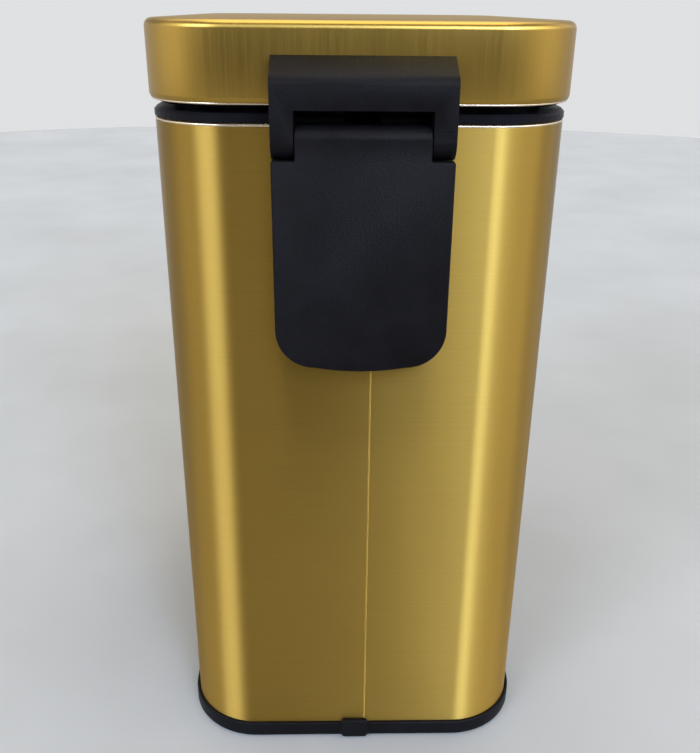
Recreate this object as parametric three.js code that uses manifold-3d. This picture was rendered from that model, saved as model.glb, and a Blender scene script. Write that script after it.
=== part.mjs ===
// A slim rectangular pedal bin with a soft-closing lid, in millimetres.
// +Z is up, the pedal is at the front (-Y) and the lid's hinge is at the back (+Y).
// Pressing the pedal lifts the rear of its lever, which pushes a rod up behind the bucket;
// the rod turns a crank on the hinge pin, and the crank opens the lid.
import * as THREE from "three";
import { mergeVertices } from "three/addons/utils/BufferGeometryUtils.js";
import Module from "manifold-3d";

const wasm = await Module();
wasm.setup();

// ---- driving dimensions ----
const GAP = 0.3; // between pieces that touch
const PIN_PLAY = 0.1; // round a pin in the bore it turns in
const PAST = 1; // how far a cutting tool reaches past what it cuts
const WIDE = 200; // half the width of a tool that cuts right across the object
const CORNER_STEPS = 7; // straight steps in a 90 degree corner of the body
const SMALL_STEPS = 2; // the same in a small corner
const ROUND_STEPS = 16; // sides of small round pieces

const BODY_W = 170;
const BODY_D = 250;
const BODY_R = 34;
const SHEET = 0.8; // steel sheet thickness
const BODY_TOP = 312.6;
const BODY_EDGE_R = 1.6; // rolled top edge
const RIM_TOP = 316.2;
const RIM_OVER = 0.25; // how far the rim stands out past the body
const FLOOR_CLEARANCE = 1; // the base ring stands this high on its rubber feet
const RING_TOP = 9.2;
const RING_OVER = 1.8; // how far the base ring stands out past the body
const RING_WALL = 1.5;

const LID_OVER = 1.8; // how far the lid stands out past the body
const LID_BOTTOM = 318.9;
const LID_TOP = 349.6;
const LID_EDGE_R = 3.2;

const BACK = BODY_D / 2; // the body's back face
const FRONT = -BODY_D / 2;
const AXIS_OUT = 8.3; // hinge axis behind the back face
const AXIS_Y = BACK + AXIS_OUT;
const AXIS_Z = 308.5;
const LID_ANGLE = 80; // degrees from shut to open
const COVER_OUT = 16.5; // front face of the hinge cover behind the back face
const BRACKET_OUT = 16.3;
const HINGE_W = 69.4;
const TONGUE_W = 51.4;
const ARM_W = 8.75;
const ARM_R = BRACKET_OUT - AXIS_OUT;
const COVER_BOTTOM = 216;
const SHOULDER_Z = 300.9; // top of the cover beside its tongue
const TONGUE_TOP = 313.4;
const PIN_R = 1.8;

const CRANK_R = 18; // hinge axis to crank pin
const CRANK_PIN_R = 1.5;
const ROD_R = 2;
const ROD_Y = 117.5;
const ROD_TRAVEL = 2 * CRANK_R * Math.sin(rad(LID_ANGLE / 2));

const PIVOT_Y = -14;
const PIVOT_Z = 20;
const LEVER_TILT = Math.asin(ROD_TRAVEL / 2 / (ROD_Y - PIVOT_Y)); // each side of level, radians
const LEVER_TOP = 6; // lever's upper face above its pivot
const LEVER_W = 34;
const PEDAL_OUT = 34; // pedal's front edge in front of the body
const PEDAL_W = 62;
const AXLE_R = 2;

const BUCKET_FLOOR = 52;
const BUCKET_TOP = 307.5;
const BUCKET_BACK = 98;

// ---- materials ----
const GOLD = { color: 0x9c7f3a, roughness: 0.34, metalness: 1 };
const BLACK = { color: 0x1c1c20, roughness: 0.62, metalness: 0 };
const DARK_GREY = { color: 0x2a2b2e, roughness: 0.5, metalness: 0 };
const STEEL = { color: 0xb4b5b8, roughness: 0.35, metalness: 1 };
const RUBBER = { color: 0x131314, roughness: 0.85, metalness: 0 };

function rad(degrees) {
  return (degrees * Math.PI) / 180;
}

// ---- solids ----
function solid(geometry) {
  const bare = geometry.index ? geometry.toNonIndexed() : geometry.clone();
  bare.deleteAttribute("normal");
  bare.deleteAttribute("uv");
  const merged = mergeVertices(bare, 1e-4);
  return new wasm.Manifold(
    new wasm.Mesh({
      numProp: 3,
      vertProperties: merged.attributes.position.array,
      triVerts: new Uint32Array(merged.index.array),
    }),
  );
}

function geometryOf(made) {
  const mesh = made.getMesh();
  const geometry = new THREE.BufferGeometry();
  geometry.setAttribute("position", new THREE.BufferAttribute(mesh.vertProperties, 3));
  geometry.setIndex(new THREE.BufferAttribute(mesh.triVerts, 1));
  const flat = geometry.toNonIndexed();
  flat.computeVertexNormals();
  return flat;
}

function join(first, ...others) {
  return others.reduce((sum, other) => sum.add(other), first);
}

function cut(first, ...others) {
  return others.reduce((rest, other) => rest.subtract(other), first);
}

// A rounded rectangle between two y values, symmetric in x.
function roundedRect(width, yLow, yHigh, radius) {
  const x = width / 2 - radius;
  const shape = new THREE.Shape();
  shape.absarc(x, yLow + radius, radius, -Math.PI / 2, 0);
  shape.absarc(x, yHigh - radius, radius, 0, Math.PI / 2);
  shape.absarc(-x, yHigh - radius, radius, Math.PI / 2, Math.PI);
  shape.absarc(-x, yLow + radius, radius, Math.PI, 1.5 * Math.PI);
  return shape;
}

// The body's outline moved inwards by inset.
function bodyOutline(inset) {
  return roundedRect(BODY_W - 2 * inset, FRONT + inset, BACK - inset, BODY_R - inset);
}

// A shape stood on z = low and carried up to z = high, with its two ends rounded by edge.
function slabGeometry(shape, low, high, edge, edgeSteps, steps) {
  const geometry = new THREE.ExtrudeGeometry(shape, {
    depth: high - low - 2 * edge,
    curveSegments: steps,
    bevelEnabled: edge > 0,
    bevelSize: edge,
    bevelThickness: edge,
    bevelOffset: -edge,
    bevelSegments: edgeSteps,
  });
  return geometry.translate(0, 0, low + edge);
}

function slab(shape, low, high, edge = 0, edgeSteps = 2, steps = CORNER_STEPS) {
  return solid(slabGeometry(shape, low, high, edge, edgeSteps, steps));
}

function smallSlab(shape, low, high, edge = 0) {
  return slab(shape, low, high, edge, 1, SMALL_STEPS);
}

// A shape drawn in (x, z) and carried from y = near to y = far, both ends rounded by edge.
function carriedBack(shape, near, far, edge = 0, edgeSteps = 2) {
  const geometry = new THREE.ExtrudeGeometry(shape, {
    depth: far - near - 2 * edge,
    curveSegments: CORNER_STEPS,
    bevelEnabled: edge > 0,
    bevelSize: edge,
    bevelThickness: edge,
    bevelOffset: -edge,
    bevelSegments: edgeSteps,
  });
  return solid(geometry.rotateX(Math.PI / 2).translate(0, far - edge, 0));
}

// A shape drawn in (y, z) and carried from x = low to x = high.
function carriedAcross(shape, low, high, steps = CORNER_STEPS) {
  const geometry = new THREE.ExtrudeGeometry(shape, {
    depth: high - low,
    curveSegments: steps,
    bevelEnabled: false,
  });
  return solid(geometry.rotateX(Math.PI / 2).rotateZ(Math.PI / 2).translate(low, 0, 0));
}

function block(x0, x1, y0, y1, z0, z1) {
  const geometry = new THREE.BoxGeometry(x1 - x0, y1 - y0, z1 - z0);
  return solid(geometry.translate((x0 + x1) / 2, (y0 + y1) / 2, (z0 + z1) / 2));
}

function upright(x, y, radius, low, high) {
  const geometry = new THREE.CylinderGeometry(radius, radius, high - low, ROUND_STEPS);
  return solid(geometry.rotateX(Math.PI / 2).translate(x, y, (low + high) / 2));
}

function crossBar(y, z, radius, x0, x1, steps = ROUND_STEPS) {
  const geometry = new THREE.CylinderGeometry(radius, radius, x1 - x0, steps);
  return solid(geometry.rotateZ(Math.PI / 2).translate((x0 + x1) / 2, y, z));
}

function depthBar(x, z, radius, y0, y1) {
  const geometry = new THREE.CylinderGeometry(radius, radius, y1 - y0, ROUND_STEPS);
  return solid(geometry.translate(x, (y0 + y1) / 2, z));
}

// A round piece turned about +Z from (radius, z) points that start and end on the axis.
function turned(points, x, y) {
  const profile = points.map(([r, z]) => new THREE.Vector2(r, z));
  const geometry = new THREE.LatheGeometry(profile, ROUND_STEPS);
  return solid(geometry.rotateX(Math.PI / 2).translate(x, y, 0));
}

function polygon(points) {
  return new THREE.Shape(points.map(([a, b]) => new THREE.Vector2(a, b)));
}

// ---- assembly ----
const bin = new THREE.Group();
const model = new THREE.Group();
bin.add(model);

function place(name, made, finish, parent = model) {
  const mesh = new THREE.Mesh(geometryOf(made), new THREE.MeshStandardMaterial(finish));
  mesh.name = name;
  parent.add(mesh);
  return mesh;
}

// ---- body ----
const SEAM_X = -5;
const SEAM_W = 1;
const SEAM_PROUD = 0.4;
const SHELL_LOW = 2.6;
const NOTCH_HALF = 7; // the crank's way through the back
const NOTCH_LOW = 287;
const SLOT_HALF = 35; // the pedal's way through the front
const SLOT_HIGH = 39;
const HINGE_HOLE_R = 2.2;
const HINGE_SCREW_LENGTH = 9;
const HINGE_SCREWS = [
  [-17, 240],
  [17, 240],
  [-17, 278],
  [17, 278],
];

function bodyShell() {
  const below = -20;
  const lip = BODY_EDGE_R + SHEET;
  const outer = slab(bodyOutline(0), below, BODY_TOP, BODY_EDGE_R);
  const inner = slab(bodyOutline(SHEET), below + 1, BODY_TOP - SHEET, BODY_EDGE_R);
  const mouth = slab(bodyOutline(lip), below - 1, BODY_TOP + PAST);
  const underground = block(-WIDE, WIDE, -WIDE, WIDE, below - 2, SHELL_LOW);
  const crankNotch = block(-NOTCH_HALF, NOTCH_HALF, BACK - 10, BACK + 1, NOTCH_LOW, BODY_TOP + PAST);
  const pedalSlot = block(-SLOT_HALF, SLOT_HALF, FRONT - 1, FRONT + 10, 0, SLOT_HIGH);
  const holes = HINGE_SCREWS.map(([x, z]) => depthBar(x, z, HINGE_HOLE_R, BACK - 5, BACK + 1));
  const seam = block(
    SEAM_X - SEAM_W / 2,
    SEAM_X + SEAM_W / 2,
    BACK - SHEET / 2,
    BACK + SEAM_PROUD,
    RING_TOP + GAP,
    NOTCH_LOW,
  );
  return join(cut(outer, inner, mouth, underground, crankNotch, pedalSlot, ...holes), seam);
}

// ---- top rim: a plastic ring in the mouth of the body, which carries the bucket ----
const RIM_SLEEVE = 2.9; // sleeve's outer face inside the body's outline
const RIM_WALL = 2;
const RIM_LOW = 288;
const LEDGE_TOP = 305.2;
const LEDGE_LOW = 302;
const LEDGE_IN = 9.4;
const RECESS_IN = 5.4;
const DECK_FRONT = 103;

function rimRing() {
  const flangeLow = BODY_TOP + GAP;
  const flange = slab(bodyOutline(-RIM_OVER), flangeLow - 1.4, RIM_TOP, 1.1, 1);
  const seat = block(-WIDE, WIDE, -WIDE, WIDE, flangeLow - 3, flangeLow);
  const sleeve = slab(bodyOutline(RIM_SLEEVE), RIM_LOW, flangeLow + 1);
  const recess = roundedRect(BODY_W - 2 * RECESS_IN, FRONT + RECESS_IN, DECK_FRONT, BODY_R - RECESS_IN);
  const ledge = roundedRect(BODY_W - 2 * LEDGE_IN, FRONT + LEDGE_IN, DECK_FRONT - 4, BODY_R - LEDGE_IN);
  const undercut = slab(bodyOutline(RIM_SLEEVE + RIM_WALL), RIM_LOW - PAST, LEDGE_LOW);
  const crankWay = block(-NOTCH_HALF, NOTCH_HALF, 109.5, BACK + 2, RIM_LOW - PAST, RIM_TOP + PAST);
  const underDeck = block(-50, 50, DECK_FRONT + 2, 118, LEDGE_LOW - PAST, RIM_TOP - 2.5);
  return cut(
    join(cut(flange, seat), sleeve),
    slab(recess, LEDGE_TOP, RIM_TOP + PAST),
    slab(ledge, LEDGE_LOW - PAST, LEDGE_TOP + 1),
    undercut,
    underDeck,
    crankWay,
  );
}

// ---- base ----
const RING_FLANGE_IN = 14;
const RING_FLANGE_TOP = 2.2;
const RING_INNER_TOP = 7;
const FLOOR_LOW = 2.5;
const FLOOR_TOP = 4.5;
const FLOOR_IN = 3.2;
const TAB_OUT = 3.4;
const TAB_TOP = 12;
const BASE_HOLE_R = 1.9;
const BASE_SCREW_LENGTH = 3.3;
const BASE_SCREWS = [
  [-76, -62],
  [76, -62],
  [-76, 62],
  [76, 62],
];
const FOOT_R = 9;
const FEET = {
  foot_front_left: [-55, -94],
  foot_front_right: [55, -94],
  foot_rear_left: [-55, 94],
  foot_rear_right: [55, 94],
};

function rearTab() {
  const outline = polygon([
    [-5.8, FLOOR_CLEARANCE],
    [5.8, FLOOR_CLEARANCE],
    [7.4, 3.4],
    [7.4, 9.6],
    [5.8, TAB_TOP],
    [-5.8, TAB_TOP],
    [-7.4, 9.6],
    [-7.4, 3.4],
  ]);
  return carriedBack(outline, BACK + SEAM_PROUD + GAP, BACK + TAB_OUT + 1, 0.5, 1);
}

function baseRing() {
  const outer = slab(bodyOutline(-RING_OVER), FLOOR_CLEARANCE, RING_TOP, 0.6, 1);
  const wallInside = RING_WALL - RING_OVER;
  const hollow = slab(bodyOutline(wallInside), RING_FLANGE_TOP, RING_TOP + PAST);
  const middle = slab(bodyOutline(RING_FLANGE_IN), 0, RING_TOP);
  const lip = cut(
    slab(bodyOutline(SHEET + GAP), RING_FLANGE_TOP - 0.5, RING_INNER_TOP),
    slab(bodyOutline(SHEET + GAP + RING_WALL), 0, RING_INNER_TOP + PAST),
  );
  const tabSkin = block(-9, 9, BACK + TAB_OUT, BACK + TAB_OUT + 3, 0, TAB_TOP + PAST);
  const bores = BASE_SCREWS.map(([x, y]) => upright(x, y, BASE_HOLE_R, 0, 4));
  return cut(join(cut(outer, hollow, middle), lip, cut(rearTab(), tabSkin)), ...bores);
}

const POST_X0 = 21;
const POST_X1 = 27;
const POST_HALF = 7;
const FLOOR_RIBS = [-48, 48];
const FLOOR_RIB_HALF = 95;
const FLOOR_RIB_HIGH = 6;

function baseFloor() {
  const plate = slab(bodyOutline(FLOOR_IN), FLOOR_LOW, FLOOR_TOP);
  const posts = [-1, 1].map((side) => {
    const x0 = side < 0 ? -POST_X1 : POST_X0;
    const x1 = x0 + POST_X1 - POST_X0;
    return block(x0, x1, PIVOT_Y - POST_HALF, PIVOT_Y + POST_HALF, FLOOR_TOP - 1, PIVOT_Z + 6);
  });
  const ribs = FLOOR_RIBS.map((x) =>
    block(x - 1, x + 1, -FLOOR_RIB_HALF, FLOOR_RIB_HALF, FLOOR_TOP - 1, FLOOR_TOP + FLOOR_RIB_HIGH),
  );
  const bore = crossBar(PIVOT_Y, PIVOT_Z, AXLE_R + PIN_PLAY, -POST_X1 - 1, POST_X1 + 1);
  const holes = BASE_SCREWS.map(([x, y]) => upright(x, y, BASE_HOLE_R, 0, FLOOR_TOP + PAST));
  return cut(join(plate, ...posts, ...ribs), bore, ...holes);
}

const AXLE_HALF = 31;
const CLIP_THICK = 1.4;
const CLIP_R = 4.4;
const CLIP_OUT = 30; // the clips' outer faces from the middle

function axleClip(x0) {
  const ring = crossBar(PIVOT_Y, PIVOT_Z, CLIP_R, x0, x0 + CLIP_THICK);
  return cut(ring, crossBar(PIVOT_Y, PIVOT_Z, AXLE_R + PIN_PLAY, x0 - 1, x0 + CLIP_THICK + 1));
}

function foot(x, y) {
  const high = FLOOR_LOW - GAP;
  return turned(
    [
      [0, 0],
      [FOOT_R - 0.6, 0],
      [FOOT_R, 0.6],
      [FOOT_R, high],
      [0, high],
    ],
    x,
    y,
  );
}

// A pan-head screw along +Z, with its point at z = 0 and the underside of its head at z = length.
function panScrew(shank, length, head, headHigh) {
  return turned(
    [
      [0, 0],
      [shank * 0.6, 0.6],
      [shank, 1.6],
      [shank, length],
      [head, length],
      [head, length + headHigh * 0.5],
      [head * 0.72, length + headHigh],
      [0, length + headHigh],
    ],
    0,
    0,
  );
}

// ---- pedal slot frame, open at the bottom, where the base ring closes it ----
const BEZEL_THICK = 1.6;
const BEZEL_WALL = 2;

function pedalBezel() {
  const flange = 2.2;
  const low = RING_TOP + GAP;
  const outline = (half, high, radius) => {
    const shape = new THREE.Shape();
    shape.moveTo(-half, low);
    shape.lineTo(half, low);
    shape.lineTo(half, high - radius);
    shape.absarc(half - radius, high - radius, radius, 0, Math.PI / 2);
    shape.absarc(-half + radius, high - radius, radius, Math.PI / 2, Math.PI);
    return shape;
  };
  const rim = outline(SLOT_HALF + flange, SLOT_HIGH + flange, 5);
  const face = carriedBack(rim, FRONT - GAP - BEZEL_THICK, FRONT - GAP, 0.5, 1);
  const neck = carriedBack(outline(SLOT_HALF - GAP, SLOT_HIGH - GAP, 1), FRONT - 1, FRONT + 5);
  const half = SLOT_HALF - BEZEL_WALL;
  const way = carriedBack(outline(half, SLOT_HIGH - BEZEL_WALL, 2), FRONT - 5, FRONT + 8);
  const openWay = block(-half, half, FRONT - 5, FRONT + 8, 0, SLOT_HIGH - 8);
  return cut(join(face, neck), way, openWay);
}

// ---- hinge cover: a hollow shield screwed to the back, with a tongue between the bracket's arms ----
const COVER_WALL = 2.2;
const COVER_CORNER = 16;
const COVER_CROWN = 2.2;
const COVER_TOP_R = 4.5;
const POCKET_STEPS = 48;
const POCKET_PLAY = 0.6; // round the bracket's arms, so that they turn freely
const TONGUE_WALL = 1.5;
const CRANK_WAY_HALF = 3.4;

function coverOutline(inset, shoulder, top) {
  const half = HINGE_W / 2 - inset;
  const tongue = TONGUE_W / 2 - inset;
  const low = COVER_BOTTOM + inset;
  const radius = COVER_CORNER - inset;
  const shape = new THREE.Shape();
  shape.moveTo(-half + radius, low + COVER_CROWN);
  shape.quadraticCurveTo(0, low - COVER_CROWN, half - radius, low + COVER_CROWN);
  shape.absarc(half - radius, low + COVER_CROWN + radius, radius, -Math.PI / 2, 0);
  shape.lineTo(half, shoulder);
  shape.lineTo(tongue, shoulder);
  shape.lineTo(tongue, top);
  shape.lineTo(-tongue, top);
  shape.lineTo(-tongue, shoulder);
  shape.lineTo(-half, shoulder);
  shape.absarc(-half + radius, low + COVER_CROWN + radius, radius, Math.PI, 1.5 * Math.PI);
  return shape;
}

function hingeCover() {
  const backEdge = BACK + SEAM_PROUD + GAP;
  const face = BACK + COVER_OUT;
  const outer = carriedBack(coverOutline(0, SHOULDER_Z, TONGUE_TOP), backEdge - 3, face, 1.2);
  const behind = block(-WIDE, WIDE, 0, backEdge, 0, TONGUE_TOP + PAST);
  const side = new THREE.Shape();
  side.moveTo(BACK - 5, COVER_BOTTOM - 5);
  side.lineTo(face, COVER_BOTTOM - 5);
  side.lineTo(face, TONGUE_TOP - COVER_TOP_R);
  side.absarc(face - COVER_TOP_R, TONGUE_TOP - COVER_TOP_R, COVER_TOP_R, 0, Math.PI / 2);
  side.lineTo(BACK - 5, TONGUE_TOP);
  const shaped = cut(outer.intersect(carriedAcross(side, -WIDE, WIDE)), behind);
  const shoulder = AXIS_Z - ARM_R - POCKET_PLAY - COVER_WALL;
  const insideOutline = coverOutline(COVER_WALL, shoulder, TONGUE_TOP - TONGUE_WALL);
  const cavity = carriedBack(insideOutline, BACK - 5, face - COVER_WALL);
  const cavityTop = new THREE.Shape();
  cavityTop.moveTo(BACK - 6, COVER_BOTTOM - 5);
  cavityTop.lineTo(face - COVER_WALL, COVER_BOTTOM - 5);
  cavityTop.lineTo(face - COVER_WALL, TONGUE_TOP - COVER_TOP_R - 0.5);
  cavityTop.lineTo(face - COVER_TOP_R - 0.5, TONGUE_TOP - TONGUE_WALL);
  cavityTop.lineTo(BACK - 6, TONGUE_TOP - TONGUE_WALL);
  const pocketW = (HINGE_W - TONGUE_W) / 2 + 1;
  const pockets = [-HINGE_W / 2 - 1, TONGUE_W / 2].map((x0) =>
    crossBar(AXIS_Y, AXIS_Z, ARM_R + POCKET_PLAY, x0, x0 + pocketW, POCKET_STEPS),
  );
  const pinBore = crossBar(AXIS_Y, AXIS_Z, PIN_R + 2 * PIN_PLAY, -HINGE_W, HINGE_W);
  const half = CRANK_WAY_HALF;
  const crankWay = block(-half, half, BACK - 1, AXIS_Y, AXIS_Z - 6, TONGUE_TOP + PAST);
  const hollow = cavity.intersect(carriedAcross(cavityTop, -WIDE, WIDE));
  return cut(shaped, hollow, ...pockets, pinBore, crankWay);
}

// ---- hinge base: a steel plate under the cover, whose two ears carry the hinge pin ----
const HINGE_PLATE_HALF = 22;
const HINGE_PLATE_LOW = 226;
const HINGE_PLATE_TOP = 298.5;
const EAR_R = 3.1;
const EAR_LOW = 284;
const EAR_KNEE = 302;
const EAR_SHEET = 2.5;
const EARS = [-10.5, 8]; // the low-x face of each ear

function hingeBase() {
  const near = BACK + SEAM_PROUD + GAP;
  const half = HINGE_PLATE_HALF;
  const plate = block(-half, half, near, near + 2, HINGE_PLATE_LOW, HINGE_PLATE_TOP);
  const ear = new THREE.Shape();
  ear.moveTo(near, EAR_LOW);
  ear.lineTo(near + 3, EAR_LOW);
  ear.lineTo(AXIS_Y + EAR_R, EAR_KNEE);
  ear.lineTo(AXIS_Y + EAR_R, AXIS_Z);
  ear.absarc(AXIS_Y, AXIS_Z, EAR_R, 0, Math.PI);
  ear.lineTo(AXIS_Y - EAR_R, EAR_KNEE);
  ear.lineTo(near, HINGE_PLATE_TOP);
  const ears = EARS.map((x0) => carriedAcross(ear, x0, x0 + EAR_SHEET));
  const pinBore = crossBar(AXIS_Y, AXIS_Z, PIN_R + PIN_PLAY, -half, half);
  const holes = HINGE_SCREWS.map(([x, z]) => depthBar(x, z, HINGE_HOLE_R, BACK, near + 4));
  return cut(join(plate, ...ears), pinBore, ...holes);
}

// ---- backing plate inside the body, with an eye that guides the rod ----
const PLATE_FAR = BACK - SHEET - GAP;
const PLATE_NEAR = PLATE_FAR - 2;
const PLATE_HALF = 24;
const PLATE_TOP = 286;
const EYE_LOW = 228;
const EYE_TOP = 236;

function backingPlate() {
  const plate = block(-PLATE_HALF, PLATE_HALF, PLATE_NEAR, PLATE_FAR, HINGE_PLATE_LOW, PLATE_TOP);
  const eye = join(
    block(-5, 5, ROD_Y, PLATE_NEAR + 1, EYE_LOW, EYE_TOP),
    upright(0, ROD_Y, 5, EYE_LOW, EYE_TOP),
  );
  const rodBore = upright(0, ROD_Y, ROD_R + GAP, EYE_LOW - PAST, EYE_TOP + PAST);
  const holes = HINGE_SCREWS.map(([x, z]) => depthBar(x, z, HINGE_HOLE_R, PLATE_NEAR - 1, PLATE_FAR + 1));
  return cut(join(plate, eye), rodBore, ...holes);
}

// ---- lid ----
const LINER_SKIRT_TOP = 325.8;
const LINER_STEP = LID_BOTTOM + LID_EDGE_R + SHEET + GAP;
const LINER_LOW = 318.2;
const LINER_PANEL_IN = 15; // the sunk panel's edge inside the body's outline
const PANEL_DEEP = 0.7;
const LINER_WALL = 1.6;
const BRACKET_SCREWS = [-20, 20];
const BRACKET_SCREW_Z = 329.6;
const BRACKET_SCREW_LENGTH = 9;

function lidShell() {
  const outer = slab(bodyOutline(-LID_OVER), LID_BOTTOM, LID_TOP, LID_EDGE_R, 3);
  const inner = slab(bodyOutline(SHEET - LID_OVER), LID_BOTTOM + SHEET, LID_TOP - SHEET, LID_EDGE_R, 3);
  const mouth = slab(bodyOutline(LID_EDGE_R - LID_OVER), LID_BOTTOM - PAST, LID_BOTTOM + LID_EDGE_R + 1);
  const holes = BRACKET_SCREWS.map((x) => depthBar(x, BRACKET_SCREW_Z, 2, BACK - 6, BACK + 4));
  return cut(outer, inner, mouth, ...holes);
}

function lidLiner() {
  const skirtIn = SHEET + GAP - LID_OVER;
  const panIn = LID_EDGE_R + 0.5 - LID_OVER;
  const skirt = slab(bodyOutline(skirtIn), LINER_STEP, LINER_SKIRT_TOP);
  const pan = slab(bodyOutline(panIn), LINER_LOW, LINER_STEP + 1, 0.8, 1);
  const panTop = block(-WIDE, WIDE, -WIDE, WIDE, LINER_STEP + 0.1, LINER_STEP + 3);
  const hollow = slab(bodyOutline(skirtIn + LINER_WALL), LINER_STEP + LINER_WALL, LINER_SKIRT_TOP + PAST);
  const panHollow = slab(bodyOutline(panIn + LINER_WALL), LINER_LOW + LINER_WALL, LINER_SKIRT_TOP + PAST);
  const sunkPanel = slab(bodyOutline(LINER_PANEL_IN), LINER_LOW - PAST, LINER_LOW + PANEL_DEEP);
  return cut(join(skirt, cut(pan, panTop)), hollow, panHollow, sunkPanel);
}

// Rubber bumpers near the lid's sides, which land on the rim.
const BUMPER_X = BODY_W / 2 - 3.5;
const BUMPERS = {
  bumper_front_left: [-BUMPER_X, -55],
  bumper_front_right: [BUMPER_X, -55],
  bumper_rear_left: [-BUMPER_X, 55],
  bumper_rear_right: [BUMPER_X, 55],
};

function bumper(x, y) {
  const plan = roundedRect(3, y - 7, y + 7, 1.4);
  return smallSlab(plan, RIM_TOP + GAP, LINER_LOW - 0.25).translate([x, 0, 0]);
}

// ---- lid bracket: an inverted U on the back of the lid, whose arms turn on the hinge pin ----
const BRACKET_NEAR = BACK + LID_OVER + GAP;
const BRACKET_TOP = 337.5;
const BAR_LOW = 319;
const BRACKET_HOLLOW_TOP = 326.5;
const BRACKET_WALL = 2.4;
const PIN_END_WALL = 1.4; // left outside the pin's ends in the arms

function bracketSide() {
  const face = BACK + BRACKET_OUT;
  const edgeR = 4.5;
  const slope = rad(22);
  const edgeZ = 327.4;
  const side = new THREE.Shape();
  side.moveTo(BRACKET_NEAR, BAR_LOW);
  side.lineTo(face - 0.8, BAR_LOW);
  side.lineTo(face, BAR_LOW + 0.8);
  side.lineTo(face, edgeZ);
  side.absarc(face - edgeR, edgeZ, edgeR, 0, Math.PI / 2 - slope);
  side.lineTo(BRACKET_NEAR, BRACKET_TOP);
  return side;
}

function armSide() {
  const side = new THREE.Shape();
  side.moveTo(BRACKET_NEAR, BAR_LOW + 4);
  side.lineTo(BRACKET_NEAR, 317.6);
  side.lineTo(BACK + 0.8, 317.6);
  side.lineTo(BACK + 0.8, AXIS_Z);
  side.absarc(AXIS_Y, AXIS_Z, ARM_R - 0.5, Math.PI, 1.5 * Math.PI);
  side.absarc(AXIS_Y, AXIS_Z, ARM_R, 1.5 * Math.PI, 2 * Math.PI);
  side.lineTo(BACK + BRACKET_OUT, BAR_LOW + 4);
  return side;
}

function lidBracket() {
  const half = HINGE_W / 2;
  const bar = carriedAcross(bracketSide(), -half, half);
  const arms = [-half, half - ARM_W].map((x0) => carriedAcross(armSide(), x0, x0 + ARM_W));
  const hollow = block(
    -half + BRACKET_WALL,
    half - BRACKET_WALL,
    BACK,
    BACK + BRACKET_OUT - BRACKET_WALL,
    BAR_LOW + BRACKET_WALL,
    BRACKET_HOLLOW_TOP,
  );
  const screwHoles = BRACKET_SCREWS.map((x) => depthBar(x, BRACKET_SCREW_Z, 1.7, BACK, BACK + 10));
  const boreHalf = half - PIN_END_WALL;
  const pinBore = crossBar(AXIS_Y, AXIS_Z, PIN_R + 2 * PIN_PLAY, -boreHalf, boreHalf);
  return cut(join(bar, ...arms), hollow, ...screwHoles, pinBore);
}

// ---- crank on the hinge pin: it starts half the lid's angle below level and ends as far above ----
const CRANK_HALF = 2.5;
const CRANK_EYE_R = 3.1;
const CRANK_TIP_R = 2.9;
const CRANK_PIN_HALF = 6.4;
const HINGE_PIN_HALF = 33;
const CRANK_TIP_Y = AXIS_Y - CRANK_R * Math.cos(rad(LID_ANGLE / 2));
const CRANK_TIP_Z = AXIS_Z - CRANK_R * Math.sin(rad(LID_ANGLE / 2));

function crankArm() {
  const half = CRANK_HALF;
  const angle = rad(-LID_ANGLE / 2);
  const acrossY = 2 * Math.sin(angle);
  const acrossZ = 2 * Math.cos(angle);
  const arm = polygon([
    [AXIS_Y + acrossY, AXIS_Z + acrossZ],
    [CRANK_TIP_Y + acrossY, CRANK_TIP_Z + acrossZ],
    [CRANK_TIP_Y - acrossY, CRANK_TIP_Z - acrossZ],
    [AXIS_Y - acrossY, AXIS_Z - acrossZ],
  ]);
  return cut(
    join(
      carriedAcross(arm, -half, half),
      crossBar(AXIS_Y, AXIS_Z, CRANK_EYE_R, -half, half),
      crossBar(CRANK_TIP_Y, CRANK_TIP_Z, CRANK_TIP_R, -half, half),
    ),
    crossBar(AXIS_Y, AXIS_Z, PIN_R + PIN_PLAY, -half - PAST, half + PAST),
    crossBar(CRANK_TIP_Y, CRANK_TIP_Z, CRANK_PIN_R + PIN_PLAY, -half - PAST, half + PAST),
  );
}

function crankPin() {
  return crossBar(CRANK_TIP_Y, CRANK_TIP_Z, CRANK_PIN_R, -CRANK_PIN_HALF, CRANK_PIN_HALF);
}

// ---- rod and damper ----
const FOOT_LOW = PIVOT_Z - ROD_TRAVEL / 2 + LEVER_TOP / Math.cos(LEVER_TILT) + 0.35;
const FOOT_HIGH = 12;
const HEAD_LOW = CRANK_TIP_Z - 10.5;
const HEAD_TOP = CRANK_TIP_Z + 4.8;
const DAMPER_X = 20;
const BRIDGE_LOW = 52;
const BRIDGE_TOP = 57;
const CYLINDER_TOP = 112;
const YOKE_LOW = 118;
const YOKE_HIGH = 8;
const PLUNGER_R = 1.6;
const PLUNGER_LOW = 75;
const HOLDER_NEAR = 107;
const HOLDER_FAR = 122;
const HOLDER_LEFT = [-20, -12]; // the holder's left leg in x
const HOLDER_RIGHT = [13, 27];

function pushRod() {
  return upright(0, ROD_Y, ROD_R, FOOT_LOW + 5, HEAD_LOW + 4.5);
}

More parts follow.
